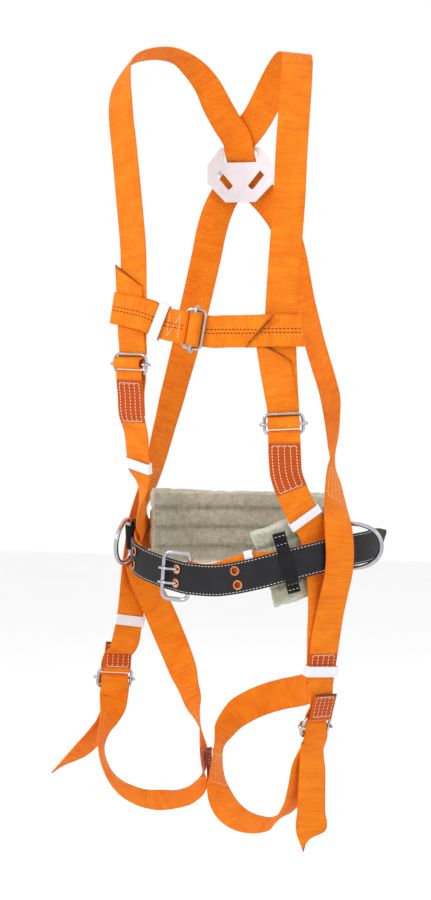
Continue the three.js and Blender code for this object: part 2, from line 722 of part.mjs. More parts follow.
const upright = [0.17, 0, 0.98];
const level = [0, 0, 1];
const wrapOut = plyPitch * 2 + 0.9;
const wrapIn = -plyPitch - 0.9;
const rightWrap = station([-111, -118, -369, 0.95, -0.32, 0]);
const leftWrap = station([99.5, -118, -395, 0.97, 0.26, 0]);
const around = (base, out, side, w, dz = 0) => {
  const s = shifted(base, out, side);
  return { p: s.p.add(vec(0, 0, dz)), w: vec(...w) };
};
const chestRightRows = [
  ...sewnLoop(sternumFrame, barPitch, 0, { under: 24 }),
  ...stations([[-66, -132, -384, ...upright]]),
  around(rightWrap, wrapOut, 27, upright, -6),
  around(rightWrap, wrapOut, 0, upright),
  around(rightWrap, wrapOut, -27, upright, 5),
  around(rightWrap, wrapOut * 0.6, -33, upright, 6),
  around(rightWrap, wrapIn * 0.2, -33, upright, 6),
  around(rightWrap, wrapIn, -27, upright, 5),
  around(rightWrap, wrapIn, 0, upright),
  around(rightWrap, wrapIn, 26, upright, -5),
  ...stations([[-74, -127.4, -381, ...upright], [-64, -129, -383, ...upright]]),
];
addStrap("chest_strap_right", chestRightRows);

const chestTail = [
  ...stations([[20, -133, -396, ...level], [50, -134.5, -396, ...level], [74, -134.8, -396, ...level]]),
];
addStrap("chest_strap_left", [
  ...stations([[50, -126.5, -396, ...level], [66, -126, -396, ...level]]),
  around(leftWrap, wrapIn, -26, level),
  around(leftWrap, wrapIn, 0, level),
  around(leftWrap, wrapIn, 25, level),
  around(leftWrap, wrapIn * 0.2, 31, level),
  around(leftWrap, wrapOut * 0.6, 31, level),
  around(leftWrap, wrapOut, 25, level),
  around(leftWrap, wrapOut, 0, level),
  around(leftWrap, wrapOut, -25, level),
  ...stations([[50, -131.5, -396, ...level], [20, -130, -396, 0.05, 0, 1]]),
  ...threaded(sternumFrame),
  ...chestTail,
], { cut: 42 });

// ---------- Belt ----------

const webbingEnd = beltLength + leatherFrom + webbingOverlap;
const pivotFrame = onBelt(0);
const webbingLift = (d) => 9 * Math.exp(-(((d - 88) / 36) ** 2)); // it shows above the leather
const pivotLoopRadius = beltBuckleRadius + loopClearance + webbingThickness / 2;
const beltReturn = [];
for (const d of [44, 24, 14]) beltReturn.push({ p: onBelt(d).at(0, 0, -plyPitch), w: vec(0, 0, 1) });
const pivotLoop = [];
for (let degrees = -90; degrees <= 90; degrees += 30) {
  const angle = THREE.MathUtils.degToRad(degrees);
  const reach = pivotLoopRadius * Math.cos(angle);
  pivotLoop.push(pivotFrame.row(reach, pivotOffset + pivotLoopRadius * Math.sin(angle)));
}
const webbingRows = beltRows(14, webbingEnd, 9, () => 0, webbingLift);
const webbingSolid = toSolid(strap([...beltReturn, ...pivotLoop, ...webbingRows], { turn: 7 }));
const prongSlot = new THREE.BoxGeometry(grommetPairPitch + prongWire + 8, 24, 24);
prongSlot.applyMatrix4(pivotFrame.matrix);
addMesh("belt_webbing", toGeometry(webbingSolid.subtract(toSolid(prongSlot))), orangeWebbing);

const leatherRows = [];
for (let d = leatherFrom; d < leatherLeaves; d += Math.abs(d) < 40 ? 5 : 8) {
  leatherRows.push({ p: onBelt(d).at(0, 0, leatherAt(d)), w: onBelt(d).w });
}
leatherRows.push(...stations([
  [154, -91, -706, 0, 0, 1], [183, -65, -700, 0, 0, 1], [207, -18, -696, 0, 0, 1], [216, 18, -690, 0, 0, 1],
]));
const leatherOptions = { width: leatherWidth, thickness: leatherThickness, tip: 12, turn: 7 };
let leatherSolid = toSolid(strap(leatherRows, leatherOptions));
const prongReach = 15.5;
function grommetGeometry() {
  const inner = grommetHole / 2;
  const barrel = inner + 0.7;
  const face = leatherThickness / 2 + 1.05;
  const back = face + grommetFlange;
  const profile = [
    [inner, -back], [grommetOuter / 2, -back], [grommetOuter / 2, -face], [barrel, -face],
    [barrel, face], [grommetOuter / 2, face], [grommetOuter / 2 - 0.4, back], [inner, back], [inner, -back],
  ].map(([x, y]) => vec2(x, y));
  const ring = new THREE.LatheGeometry(profile, 16);
  return bare(ring.rotateX(Math.PI / 2));
}
const leatherFrame = (d) => {
  const ahead = onBelt(d + 1).at(0, 0, leatherAt(d + 1));
  const behind = onBelt(d - 1).at(0, 0, leatherAt(d - 1));
  return localFrame(onBelt(d).at(0, 0, leatherAt(d)), behind.sub(ahead), vec(0, 0, 1));
};
const bore = new THREE.CylinderGeometry(grommetHole / 2 + 1.1, grommetHole / 2 + 1.1, 12, 16);
bore.rotateX(Math.PI / 2);
let grommetCount = 0;
for (const pair of [1, 0, -1]) {
  const f = leatherFrame(-prongReach - pair * grommetSpacing);
  for (const side of [1, -1]) {
    const middle = f.at((side * grommetPairPitch) / 2, 0, 0);
    const matrix = f.matrix.clone().setPosition(middle);
    leatherSolid = leatherSolid.subtract(toSolid(bore.clone().applyMatrix4(matrix)));
    grommetCount += 1;
    addMesh("grommet_" + grommetCount, grommetGeometry(), copper, matrix);
  }
}
addMesh("leather_strap", toGeometry(leatherSolid), blackLeather);

// The belt buckle: a wire frame hinged on its pivot bar, with two prongs.
const frontBarAt = 36.8;
const frontBarOffset = leatherOuter + beltBuckleRadius + 0.4;
const buckleLean = new THREE.Vector2(frontBarAt, frontBarOffset - pivotOffset);
const buckleAlong = pivotFrame.at(0, frontBarAt, frontBarOffset).sub(pivotFrame.at(0, 0, pivotOffset));
const beltBuckleFrame = localFrame(pivotFrame.at(0, 0, pivotOffset), buckleAlong, pivotFrame.w);
const buckleOutline = roundedRectangle(beltBuckleHeight - beltBuckleWire, buckleLean.length(), 8);
const buckleRing = wireRing(buckleOutline, beltBuckleWire, 40);
buckleRing.translate(0, buckleLean.length() / 2, 0);
addMesh("belt_buckle_frame", buckleRing, zincWire, beltBuckleFrame.matrix);

const prongRadius = prongWire / 2;
const eye = beltBuckleRadius + prongRadius + 0.35;
function prongGeometry() {
  const points = [];
  for (let degrees = 135; degrees <= 330; degrees += 32.5) {
    const angle = THREE.MathUtils.degToRad(degrees);
    points.push(vec(0, eye * Math.cos(angle), pivotOffset + eye * Math.sin(angle)));
  }
  const tipOffset = frontBarOffset + beltBuckleRadius + prongRadius + 0.35;
  points.push(vec(0, prongReach - 5.5, -3.6), vec(0, prongReach - 1.4, -0.6), vec(0, prongReach, 3.4));
  points.push(vec(0, prongReach + 1.8, 7.8), vec(0, prongReach + 6, 11.4));
  points.push(vec(0, frontBarAt - 6, tipOffset), vec(0, frontBarAt + 4.5, tipOffset));
  return wireRod(points, prongWire, 40, 8);
}
for (const [name, side] of [["upper", 1], ["lower", -1]]) {
  const matrix = pivotFrame.matrix.clone().setPosition(pivotFrame.at((side * grommetPairPitch) / 2, 0, 0));
  addMesh("prong_" + name, prongGeometry(), zincWire, matrix);
}

// ---------- Back cushion ----------

const cushionInset = webbingThickness / 2 + cushionGap + cushionThickness / 2;
const cushionStations = stations([
  [66, -97, -728, -0.2, 0, 0.98], [90, -94, -720, -0.2, 0, 0.98], [116, -83, -708, -0.12, 0, 0.98],
  [138, -60, -700, 0, 0, 1], [149, -25, -694, 0, 0, 1], [148, 18, -689, 0, 0, 1],
  [135, 56, -686, 0, 0, 1], [108, 81, -685, 0, 0, 1], [69, 95, -685, 0, 0, 1],
  [14, 102, -685, 0, 0, 1], [-50, 95, -685, 0, 0, 1], [-94, 73, -684, 0, 0, 1],
  [-115, 42, -682, 0, 0, 1], [-123, 4, -680, 0, 0, 1],
]);
const cushionOptions = { width: cushionHeight, thickness: cushionThickness, turn: 12 };
addMesh("back_cushion", strap(cushionStations, cushionOptions), canvas);

// Belt loops sewn to the cushion's outer face, over the webbing, and at the front over the leather too.
function addBeltLoop(name, distance, outer, low, top, bottom) {
  const over = outer + plyGap + beltLoopThickness / 2;
  const edge = webbingWidth / 2;
  const f = onBelt(distance);
  const turn = (x, z) => ({ p: f.at(x, 0, z), w: f.a.clone() });
  const rows = [
    turn(edge + top, low), turn(edge + 6, low + 1), turn(edge + 2, over), turn(0, over),
    turn(-edge - 2, over), turn(-edge - 6, low + 1), turn(-edge - bottom, low),
  ];
  addStrap(name, rows, { width: beltLoopWidth, thickness: beltLoopThickness }, blackWebbing);
}
const loopLow = -cushionInset + cushionThickness / 2 + plyGap + beltLoopThickness / 2;
addBeltLoop("belt_loop_front", 148, leatherOuter, loopLow + 2, 24, 18);
addBeltLoop("belt_loop_back_left", 470, webbingThickness / 2, loopLow, 24, 26);
addBeltLoop("belt_loop_back_right", 640, webbingThickness / 2, loopLow, 24, 26);

// ---------- Keepers ----------

// A plastic keeper round a stack of straps: width across, room for the stack, and its length along.
function addKeeper(name, f, inside, room, length) {
  const w = inside + 2 * keeperClearance;
  const h = room + 2 * keeperClearance;
  const outer = roundedRectangle(w + 2 * keeperWall, h + 2 * keeperWall, 1.8);
  outer.holes.push(new THREE.Path(roundedRectangle(w, h, 0.8).getPoints(2)));
  const shape = new THREE.Shape(outer.getPoints(3));
  shape.holes = outer.holes;
  const ring = new THREE.ExtrudeGeometry(shape, { depth: length, bevelEnabled: false });
  ring.translate(0, 0, -length / 2);
  ring.rotateX(-Math.PI / 2);
  addMesh(name, bare(ring), whitePlastic, f.matrix);
}

// The frame of a strap's route where it is nearest to a point.
function nearest(rows, point) {
  const frames = walk(rows, 2);
  frames.sort((a, b) => a.p.distanceTo(point) - b.p.distanceTo(point));
  return localFrame(frames[0].p, frames[0].tangent, frames[0].w);
}

// A keeper round one strap, or round two that lie on each other, near a point. slack is spare room.
function keeperOn(name, point, length, slack, rows, others = rows) {
  const f = nearest(rows, point);
  const g = nearest(others, f.origin);
  const middle = f.origin.clone().add(g.origin).multiplyScalar(0.5);
  const room = Math.abs(g.origin.clone().sub(f.origin).dot(f.n)) + webbingThickness + slack;
  addKeeper(name, localFrame(middle, f.a, f.w), webbingWidth + slack * 0.5, room, length);
}
const chestOuter = chestRightRows.slice(0, -6);
const chestInner = chestRightRows.slice(-6);
keeperOn("keeper_chest", place(-70, -132, -382), 14, 5.4, chestOuter, chestInner);
keeperOn("keeper_front_right", place(-110, -98, -584), keeperLength, 1.2, rightFrontRows);
keeperOn("keeper_front_left", place(126, -98, -655), 12, 1.2, leftFrontRows);
keeperOn("keeper_leg_right", place(-162, 25, -820), keeperLength, 0, leftShoulderRows);
keeperOn("keeper_leg_left", place(146, -60, -870), keeperLength, 2.8, rightShoulderRows, leftFrontRows);
const beltKeeper = onBelt(beltKeeperAt, webbingLift(beltKeeperAt));
addKeeper("keeper_belt", beltKeeper, webbingWidth + 1, webbingThickness + 0.8, 12);

export default model;
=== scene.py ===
import itertools
import json
import math

import bmesh
import bpy
import numpy as np
from mathutils import Matrix, Vector


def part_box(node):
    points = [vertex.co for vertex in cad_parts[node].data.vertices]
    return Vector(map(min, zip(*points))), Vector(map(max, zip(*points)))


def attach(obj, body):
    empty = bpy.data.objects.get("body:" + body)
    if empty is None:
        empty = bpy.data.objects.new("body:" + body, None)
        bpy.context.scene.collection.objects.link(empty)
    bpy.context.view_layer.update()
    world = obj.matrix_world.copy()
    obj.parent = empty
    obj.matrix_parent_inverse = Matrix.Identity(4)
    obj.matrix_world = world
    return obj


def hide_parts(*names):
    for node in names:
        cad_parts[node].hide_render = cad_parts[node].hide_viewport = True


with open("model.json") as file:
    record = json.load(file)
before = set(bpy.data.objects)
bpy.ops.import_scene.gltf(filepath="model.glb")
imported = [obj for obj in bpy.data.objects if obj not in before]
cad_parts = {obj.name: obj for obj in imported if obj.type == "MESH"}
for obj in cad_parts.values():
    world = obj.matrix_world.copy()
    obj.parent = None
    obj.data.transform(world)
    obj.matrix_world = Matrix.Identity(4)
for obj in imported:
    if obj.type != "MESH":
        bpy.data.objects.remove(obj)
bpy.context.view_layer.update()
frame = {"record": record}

MM = 0.001
bodies = {node: body for body, held in frame["record"]["behaviour"]["bodies"].items() for node in held}
collection = bpy.context.scene.collection


# ---------- Shader groups ----------

def new_group(name, inputs, outputs):
    """An empty shader group with named sockets, and its two end nodes."""
    group = bpy.data.node_groups.new(name, "ShaderNodeTree")
    for label, kind, value in inputs:
        socket = group.interface.new_socket(label, in_out="INPUT", socket_type=kind)
        if value is not None:
            socket.default_value = value
    for label, kind in outputs:
        group.interface.new_socket(label, in_out="OUTPUT", socket_type=kind)
    return group, group.nodes.new("NodeGroupInput"), group.nodes.new("NodeGroupOutput")


def add(tree, kind, settings=None, **values):
    """A node with its settings, and values or links for its sockets by name or number."""
    node = tree.nodes.new("ShaderNode" + kind)
    for key, value in (settings or {}).items():
        setattr(node, key, value)
    for key, value in values.items():
        key = key.replace("_", " ") if not key.startswith("n") or not key[1:].isdigit() else int(key[1:])
        socket = node.inputs[key]
        if isinstance(value, bpy.types.NodeSocket):
            tree.links.new(value, socket)
        else:
            socket.default_value = value
    return node


def math_node(tree, operation, a, b=0.0, c=0.0):
    return add(tree, "Math", {"operation": operation}, n0=a, n1=b, n2=c).outputs[0]


def mixed(tree, factor, a, b):
    """Two colours mixed by a factor."""
    node = add(tree, "Mix", {"data_type": "RGBA"}, n0=factor, n6=a, n7=b)
    return node.outputs[2]


def ramp(tree, value, low, high):
    """A value spread from 0 at low to 1 at high."""
    node = add(tree, "MapRange", {"clamp": True}, n0=value, n1=low, n2=high)
    return node.outputs[0]


def build_weave():
    """Ribbed tape: ribs across its width, a finer twill, slow wear of colour, and painted shade in the
    grooves between the ribs. UV is in metres.
    """
    group, start, end = new_group(
        "ribbed_weave",
        [("UV", "NodeSocketVector", None), ("Rib Pitch", "NodeSocketFloat", 2.4 * MM),
         ("Twill Pitch", "NodeSocketFloat", 1.1 * MM), ("Edge", "NodeSocketFloat", 21 * MM)],
        [("Height", "NodeSocketFloat"), ("Shade", "NodeSocketFloat"), ("Border", "NodeSocketFloat")],
    )
    parts = add(group, "SeparateXYZ", n0=start.outputs["UV"])
    along, across = parts.outputs[0], parts.outputs[1]
    skew = math_node(group, "MULTIPLY", across, 0.06)
    rib_turns = math_node(group, "DIVIDE", math_node(group, "ADD", along, skew), start.outputs["Rib Pitch"])
    rib = math_node(group, "SINE", math_node(group, "MULTIPLY", rib_turns, 2 * math.pi))
    twill_turns = math_node(group, "DIVIDE", across, start.outputs["Twill Pitch"])
    offset = math_node(group, "MULTIPLY", math_node(group, "FLOOR", rib_turns), 0.5)
    twill = math_node(group, "SINE", math_node(
        group, "MULTIPLY", math_node(group, "ADD", twill_turns, offset), 2 * math.pi))
    height = math_node(group, "ADD", math_node(group, "MULTIPLY", rib, 0.5),
                       math_node(group, "MULTIPLY", twill, 0.22))
    slow = add(group, "TexNoise", n0=start.outputs["UV"], Scale=34.0, Detail=4.0, Roughness=0.65)
    band = add(group, "CombineXYZ", n0=along, n1=math_node(group, "MULTIPLY", across, 0.12), n2=0.0)
    bands = add(group, "TexNoise", n0=band.outputs[0], Scale=130.0, Detail=3.0, Roughness=0.7)
    shade = math_node(group, "ADD", math_node(group, "MULTIPLY", slow.outputs[0], 0.45),
                      math_node(group, "MULTIPLY", bands.outputs[0], 0.55))
    # painted light and shade: the ribs' ridges lighter and the grooves between them darker in colour
    shade = math_node(group, "ADD", shade, math_node(group, "MULTIPLY", rib, 0.1))
    border = ramp(group, math_node(group, "ABSOLUTE", across), math_node(
        group, "SUBTRACT", start.outputs["Edge"], 1.2 * MM), start.outputs["Edge"])
    group.links.new(height, end.inputs["Height"])
    group.links.new(shade, end.inputs["Shade"])
    group.links.new(border, end.inputs["Border"])
    return group


def build_wear():
    """Fine scratches and smudges for metal and plastic, on Object coordinates."""
    group, start, end = new_group(
        "handled_surface",
        [("Vector", "NodeSocketVector", None), ("Size", "NodeSocketFloat", 60.0)],
        [("Smudge", "NodeSocketFloat"), ("Height", "NodeSocketFloat")],
    )
    smudge = add(group, "TexNoise", n0=start.outputs["Vector"], Scale=start.outputs["Size"],
                 Detail=5.0, Roughness=0.6)
    fine = math_node(group, "MULTIPLY", start.outputs["Size"], 14.0)
    grain = add(group, "TexNoise", n0=start.outputs["Vector"], Scale=fine, Detail=3.0, Roughness=0.6)
    group.links.new(smudge.outputs[0], end.inputs["Smudge"])
    group.links.new(grain.outputs[0], end.inputs["Height"])
    return group


WEAVE = build_weave()
WEAR = build_wear()


def new_material(name):
    material = bpy.data.materials.new(name)
    material.use_nodes = True
    tree = material.node_tree
    return material, tree, tree.nodes["Principled BSDF"]


def put_group(tree, group, **values):
    node = tree.nodes.new("ShaderNodeGroup")
    node.node_tree = group
    for key, value in values.items():
        socket = node.inputs[key.replace("_", " ")]
        if isinstance(value, bpy.types.NodeSocket):
            tree.links.new(value, socket)
        else:
            socket.default_value = value
    return node


def bump(tree, shader, height, distance, strength=1.0):
    node = add(tree, "Bump", Height=height, Distance=distance, Strength=strength)
    tree.links.new(node.outputs[0], shader.inputs["Normal"])


def webbing_material(name, dark, mid, light, sewn, rib=2.4 * MM, depth=0.5 * MM):
    """Woven tape, with darker sewn fields and melted ends read from the piece's own attributes."""
    material, tree, shader = new_material(name)
    uv = add(tree, "UVMap", {"uv_map": "tape"})
    weave = put_group(tree, WEAVE, UV=uv.outputs[0], Rib_Pitch=rib)
    # dark, mid and light follow the weave's tone: random wear, plus painted shade in the grooves between ribs
    # and painted light on their ridges
    low = mixed(tree, ramp(tree, weave.outputs["Shade"], 0.3, 0.56), dark, mid)
    base = mixed(tree, ramp(tree, weave.outputs["Shade"], 0.5, 0.8), low, light)
    sewn_field = add(tree, "Attribute", {"attribute_name": "sewn"})
    base = mixed(tree, math_node(tree, "MULTIPLY", sewn_field.outputs["Fac"], 0.85), base, sewn)
    burnt = add(tree, "Attribute", {"attribute_name": "burnt"})
    base = mixed(tree, burnt.outputs["Fac"], base, (0.11, 0.018, 0.008, 1))
    base = mixed(tree, math_node(tree, "MULTIPLY", weave.outputs["Border"], 0.35), base, dark)
    tree.links.new(base, shader.inputs["Base Color"])
    shader.inputs["Roughness"].default_value = 0.62
    shader.inputs["Sheen Weight"].default_value = 0.08
    shader.inputs["Sheen Roughness"].default_value = 0.45
    shader.inputs["Sheen Tint"].default_value = light
    shader.inputs["Specular IOR Level"].default_value = 0.16
    bump(tree, shader, weave.outputs["Height"], depth)
    return material


def thread_material(name, colour):
    material, tree, shader = new_material(name)
    place = add(tree, "TexCoord")
    twist = add(tree, "TexNoise", n0=place.outputs["Object"], Scale=1500.0, Detail=2.0)
    pale = tuple(min(1.0, c * 1.12) for c in colour[:3]) + (1,)
    deep = tuple(c * 0.72 for c in colour[:3]) + (1,)
    tree.links.new(mixed(tree, twist.outputs[0], deep, pale), shader.inputs["Base Color"])
    shader.inputs["Roughness"].default_value = 0.6
    bump(tree, shader, twist.outputs[0], 0.1 * MM)
    return material


def metal_material(name, colour, rough, tarnish):
    material, tree, shader = new_material(name)
    place = add(tree, "TexCoord")
    wear = put_group(tree, WEAR, Vector=place.outputs["Object"], Size=55.0)
    spread = ramp(tree, wear.outputs["Smudge"], 0.35, 0.75)
    tree.links.new(mixed(tree, spread, colour, tarnish), shader.inputs["Base Color"])
    rougher = add(tree, "MapRange", n0=wear.outputs["Smudge"], n1=0.3, n2=0.8, n3=rough * 0.7, n4=rough * 1.7)
    tree.links.new(rougher.outputs[0], shader.inputs["Roughness"])
    shader.inputs["Metallic"].default_value = 1.0
    bump(tree, shader, wear.outputs["Height"], 0.03 * MM, 0.5)
    return material


def plastic_material(name, colour, shade):
    material, tree, shader = new_material(name)
    place = add(tree, "TexCoord")
    wear = put_group(tree, WEAR, Vector=place.outputs["Object"], Size=70.0)
    tree.links.new(mixed(tree, ramp(tree, wear.outputs["Smudge"], 0.4, 0.8), colour, shade),
                   shader.inputs["Base Color"])
    rougher = add(tree, "MapRange", n0=wear.outputs["Smudge"], n1=0.3, n2=0.8, n3=0.32, n4=0.5)
    tree.links.new(rougher.outputs[0], shader.inputs["Roughness"])
    bump(tree, shader, wear.outputs["Height"], 0.05 * MM, 0.6)
    return material


def leather_material():
    """Grained black hide: cells, creases between them, and a slow unevenness."""
    material, tree, shader = new_material("grained_leather")
    place = add(tree, "TexCoord")
    cells = add(tree, "TexVoronoi", {"feature": "F1"}, n0=place.outputs["Object"], Scale=620.0)
    creases = add(tree, "TexVoronoi", {"feature": "DISTANCE_TO_EDGE"},
                  n0=place.outputs["Object"], Scale=310.0)
    slow = add(tree, "TexNoise", n0=place.outputs["Object"], Scale=42.0, Detail=5.0, Roughness=0.6)
    height = math_node(tree, "ADD", math_node(tree, "MULTIPLY", cells.outputs["Distance"], -0.35),
                       ramp(tree, creases.outputs["Distance"], 0.0, 0.16))
    worn = ramp(tree, slow.outputs[0], 0.42, 0.72)
    tree.links.new(mixed(tree, worn, (0.006, 0.006, 0.0075, 1), (0.014, 0.0135, 0.016, 1)),
                   shader.inputs["Base Color"])
    rough = add(tree, "MapRange", n0=slow.outputs[0], n1=0.3, n2=0.75, n3=0.42, n4=0.6)
    tree.links.new(rough.outputs[0], shader.inputs["Roughness"])
    shader.inputs["Specular IOR Level"].default_value = 0.3
    bump(tree, shader, height, 0.22 * MM, 0.8)
    return material


def canvas_material(name, pale, deep):
    """Coarse plain-weave cotton, mottled, on Object coordinates."""
    material, tree, shader = new_material(name)
    place = add(tree, "TexCoord")
    parts = add(tree, "SeparateXYZ", n0=place.outputs["Object"])
    round_way = math_node(tree, "MULTIPLY", math_node(
        tree, "ADD", parts.outputs[0], math_node(tree, "MULTIPLY", parts.outputs[1], 0.8)),
        2 * math.pi / (1.5 * MM))
    up_way = math_node(tree, "MULTIPLY", parts.outputs[2], 2 * math.pi / (1.5 * MM))
    checks = math_node(tree, "MULTIPLY", math_node(tree, "SINE", round_way), math_node(tree, "SINE", up_way))
    slubs = add(tree, "TexNoise", n0=place.outputs["Object"], Scale=420.0, Detail=4.0, Roughness=0.7)
    mottle = add(tree, "TexNoise", n0=place.outputs["Object"], Scale=95.0, Detail=6.0, Roughness=0.72)
    shade = math_node(tree, "ADD", math_node(tree, "MULTIPLY", slubs.outputs[0], 0.5),
                      math_node(tree, "MULTIPLY", mottle.outputs[0], 0.5))
    tree.links.new(mixed(tree, ramp(tree, shade, 0.36, 0.64), deep, pale), shader.inputs["Base Color"])
    shader.inputs["Roughness"].default_value = 0.9
    shader.inputs["Sheen Weight"].default_value = 0.2
    height = math_node(tree, "ADD", math_node(tree, "MULTIPLY", checks, 0.35), slubs.outputs[0])
    bump(tree, shader, height, 0.35 * MM)
    return material


ORANGE = webbing_material("orange_webbing",
                          (0.8, 0.15, 0.004, 1), (0.94, 0.235, 0.006, 1), (0.98, 0.31, 0.016, 1),
                          (0.5, 0.055, 0.003, 1))
BLACK_TAPE = webbing_material("black_tape", (0.008, 0.008, 0.009, 1), (0.014, 0.014, 0.016, 1),
                              (0.03, 0.03, 0.034, 1), (0.01, 0.01, 0.01, 1), rib=1.3 * MM)
LINING = webbing_material("lining_tape", (0.62, 0.13, 0.03, 1), (0.85, 0.25, 0.08, 1), (0.95, 0.4, 0.2, 1),
                          (0.6, 0.1, 0.02, 1), rib=1.2 * MM)
LEATHER = leather_material()
CANVAS = canvas_material("quilted_canvas", (0.54, 0.54, 0.42, 1), (0.27, 0.275, 0.2, 1))
HEM = canvas_material("hem_binding", (0.63, 0.63, 0.52, 1), (0.42, 0.42, 0.33, 1))
WHITE_THREAD = thread_material("white_thread", (0.88, 0.86, 0.84, 1))
PEACH_THREAD = thread_material("peach_thread", (0.93, 0.62, 0.42, 1))
DARK_THREAD = thread_material("dark_thread", (0.1, 0.012, 0.004, 1))
CANVAS_THREAD = thread_material("canvas_thread", (0.68, 0.66, 0.56, 1))
ZINC = metal_material("bright_zinc", (0.56, 0.57, 0.6, 1), 0.16, (0.33, 0.33, 0.36, 1))
COPPER = metal_material("copper_eyelet", (0.8, 0.36, 0.2, 1), 0.2, (0.45, 0.15, 0.07, 1))
WHITE = plastic_material("white_plastic", (0.8, 0.79, 0.84, 1), (0.72, 0.71, 0.79, 1))


# ---------- Shared making helpers ----------

def merged_copy(name):
    """A node's solid with its corners joined, as a bmesh."""
    made = bmesh.new()
    made.from_mesh(bpy.data.objects[name].data)
    bmesh.ops.remove_doubles(made, verts=made.verts, dist=1e-5)
    return made


def finish_piece(made, name, materials, smooth=True):
    """An object at the origin from a bmesh, with its materials."""
    mesh = bpy.data.meshes.new(name)
    made.to_mesh(mesh)
    made.free()
    for material in materials:
        mesh.materials.append(material)
    for face in mesh.polygons:
        face.use_smooth = smooth
    piece = bpy.data.objects.new(name, mesh)
    collection.objects.link(piece)
    return piece


def hold(piece, slot, *replaced, body=None):
    """Puts a piece on its body, for the nodes it stands for; the slot is not used."""
    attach(piece, body or (bodies[replaced[0]] if replaced else "root"))
    if replaced:
        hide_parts(*replaced)
    return piece


def add_bevel(piece, width, segments=2, angle=35):
    rounded = piece.modifiers.new("rounded", "BEVEL")
    rounded.width = width
    rounded.segments = segments
    rounded.limit_method = "ANGLE"
    rounded.angle_limit = math.radians(angle)
    rounded.use_clamp_overlap = True


# ---------- Bands that follow a strap's solid ----------

bands = {}


def ring_rows(made):
    """The four long edges of a plain bent strap, found ring by ring from its end face."""
    made.verts.ensure_lookup_table()
    beside = {v: [e.other_vert(v) for e in v.link_edges] for v in made.verts}
    faces = [(sum(len(beside[v]) for v in set(e.link_faces[0].verts) | set(e.link_faces[1].verts)),
              e.index, e)
             for e in made.edges if len(e.link_faces) == 2 and e.calc_face_angle(9) < 0.02]
    for total, index, edge in sorted(faces)[:12]:
        ring = list(dict.fromkeys(list(edge.link_faces[0].verts) + list(edge.link_faces[1].verts)))
        rings, seen = [ring], set(ring)
        while len(ring) == 4:
            onward = list(dict.fromkeys(v for r in ring for v in beside[r] if v not in seen))
            if not onward:
                break
            seen.update(onward)
            rings.append(onward)
            ring = onward
        if all(len(r) == 4 for r in rings) and len(seen) == len(made.verts):
            rows = [rings[0]]
            for ring in rings[1:]:
                before = rows[-1]
                fits = [(sum((a.co - b.co).length for a, b in zip(before, order)), n, order)
                        for n, order in enumerate(itertools.permutations(ring))
                        if all(b in beside[a] for a, b in zip(before, order))]
                rows.append(list(min(fits)[2]))
            return [[row[i].co.copy() for row in rows] for i in range(4)]
    return None


def chain_rows(made):
    """The four long edges of a strap with holes cut in it, followed along their sharp corners."""
    sharp = {}
    for edge in made.edges:
        if len(edge.link_faces) == 2 and edge.calc_face_angle(0) > math.radians(45):
            for vert in edge.verts:
                sharp.setdefault(vert, []).append(edge)
    corners = [v for v, edges in sharp.items() if len(edges) >= 3]
    long_edges = []
    used = set()
    for corner in corners:
        for first in sharp[corner]:
            chain, edge = [corner], first
            while edge:
                vert = edge.other_vert(chain[-1])
                chain.append(vert)
                onward = [e for e in sharp[vert] if e is not edge]
                edge = onward[0] if len(onward) == 1 and vert not in corners else None
            key = frozenset((chain[0].index, chain[-1].index, chain[1].index, chain[-2].index))
            if chain[-1] in corners and len(chain) > 4 and key not in used:
                used.add(key)
                long_edges.append([v.co.copy() for v in chain])
    long_edges.sort(key=lambda row: -sum((a - b).length for a, b in zip(row, row[1:])))
    rows = long_edges[:4]
    start = rows[0][0]
    for row in rows:
        if (row[0] - start).length > (row[-1] - start).length:
            row.reverse()
    return rows


def corner_rows(name):
    """The strap solid's four long edges, each from the same end, with as many points each."""
    made = merged_copy(name)
    rows = ring_rows(made) or chain_rows(made)
    made.free()
    counts = [len(r) for r in rows]
    if len(rows) < 4 or len(set(counts)) > 1:
        raise ValueError(name + " has no four even edges: " + str(counts))
    return rows


class Band:
    """A strap's middle surface: its two edges, with the distance along, resampled smoothly."""

    def __init__(self, name, step=4 * MM, begins=None):
        rows = corner_rows(name)
        first = rows[0]
        others = sorted(rows[1:], key=lambda r: sum((a - b).length for a, b in zip(r, first)))
        left = np.array([(a + b) / 2 for a, b in zip(first, others[0])])
        right = np.array([(a + b) / 2 for a, b in zip(others[1], others[2])])
        self.thickness = float(np.median([(a - b).length for a, b in zip(first, others[0])]))
        centre = (left + right) / 2
        if begins:
            target = near(begins)
            if np.linalg.norm(centre[-1] - target) < np.linalg.norm(centre[0] - target):
                left, right, centre = left[::-1], right[::-1], centre[::-1]
        knots = np.concatenate([[0], np.cumsum(np.linalg.norm(np.diff(centre, axis=0), axis=1))])
        keep = np.concatenate([[True], np.diff(knots) > 1e-6])
        left, right, knots = left[keep], right[keep], knots[keep]
        self.length = float(knots[-1])
        count = max(8, int(self.length / step))
        self.u = np.unique(np.concatenate([np.linspace(0, self.length, count), knots]))
        self.u = self.u[np.concatenate([[True], np.diff(self.u) > 0.6 * MM])]
        self.left = smooth_through(knots, left, self.u)
        self.right = smooth_through(knots, right, self.u)

    def at(self, u):
        """The middle, the direction along, across and out at a distance along."""
        left = np.array([np.interp(u, self.u, self.left[:, i]) for i in range(3)])
        right = np.array([np.interp(u, self.u, self.right[:, i]) for i in range(3)])
        step = 3 * MM
        ahead = self.centre(min(u + step, self.length))
        behind = self.centre(max(u - step, 0))
        along = unit(ahead - behind)
        across = unit(right - left)
        out = unit(np.cross(along, across))
        return (left + right) / 2, along, across, out, np.linalg.norm(right - left)

    def centre(self, u):
        middle = (self.left + self.right) / 2
        return np.array([np.interp(u, self.u, middle[:, i]) for i in range(3)])

def near(node):
    """The middle of a node's box."""
    low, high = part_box(node)
    return (np.array(low) + np.array(high)) / 2


def unit(v):
    return v / max(1e-12, np.linalg.norm(v))


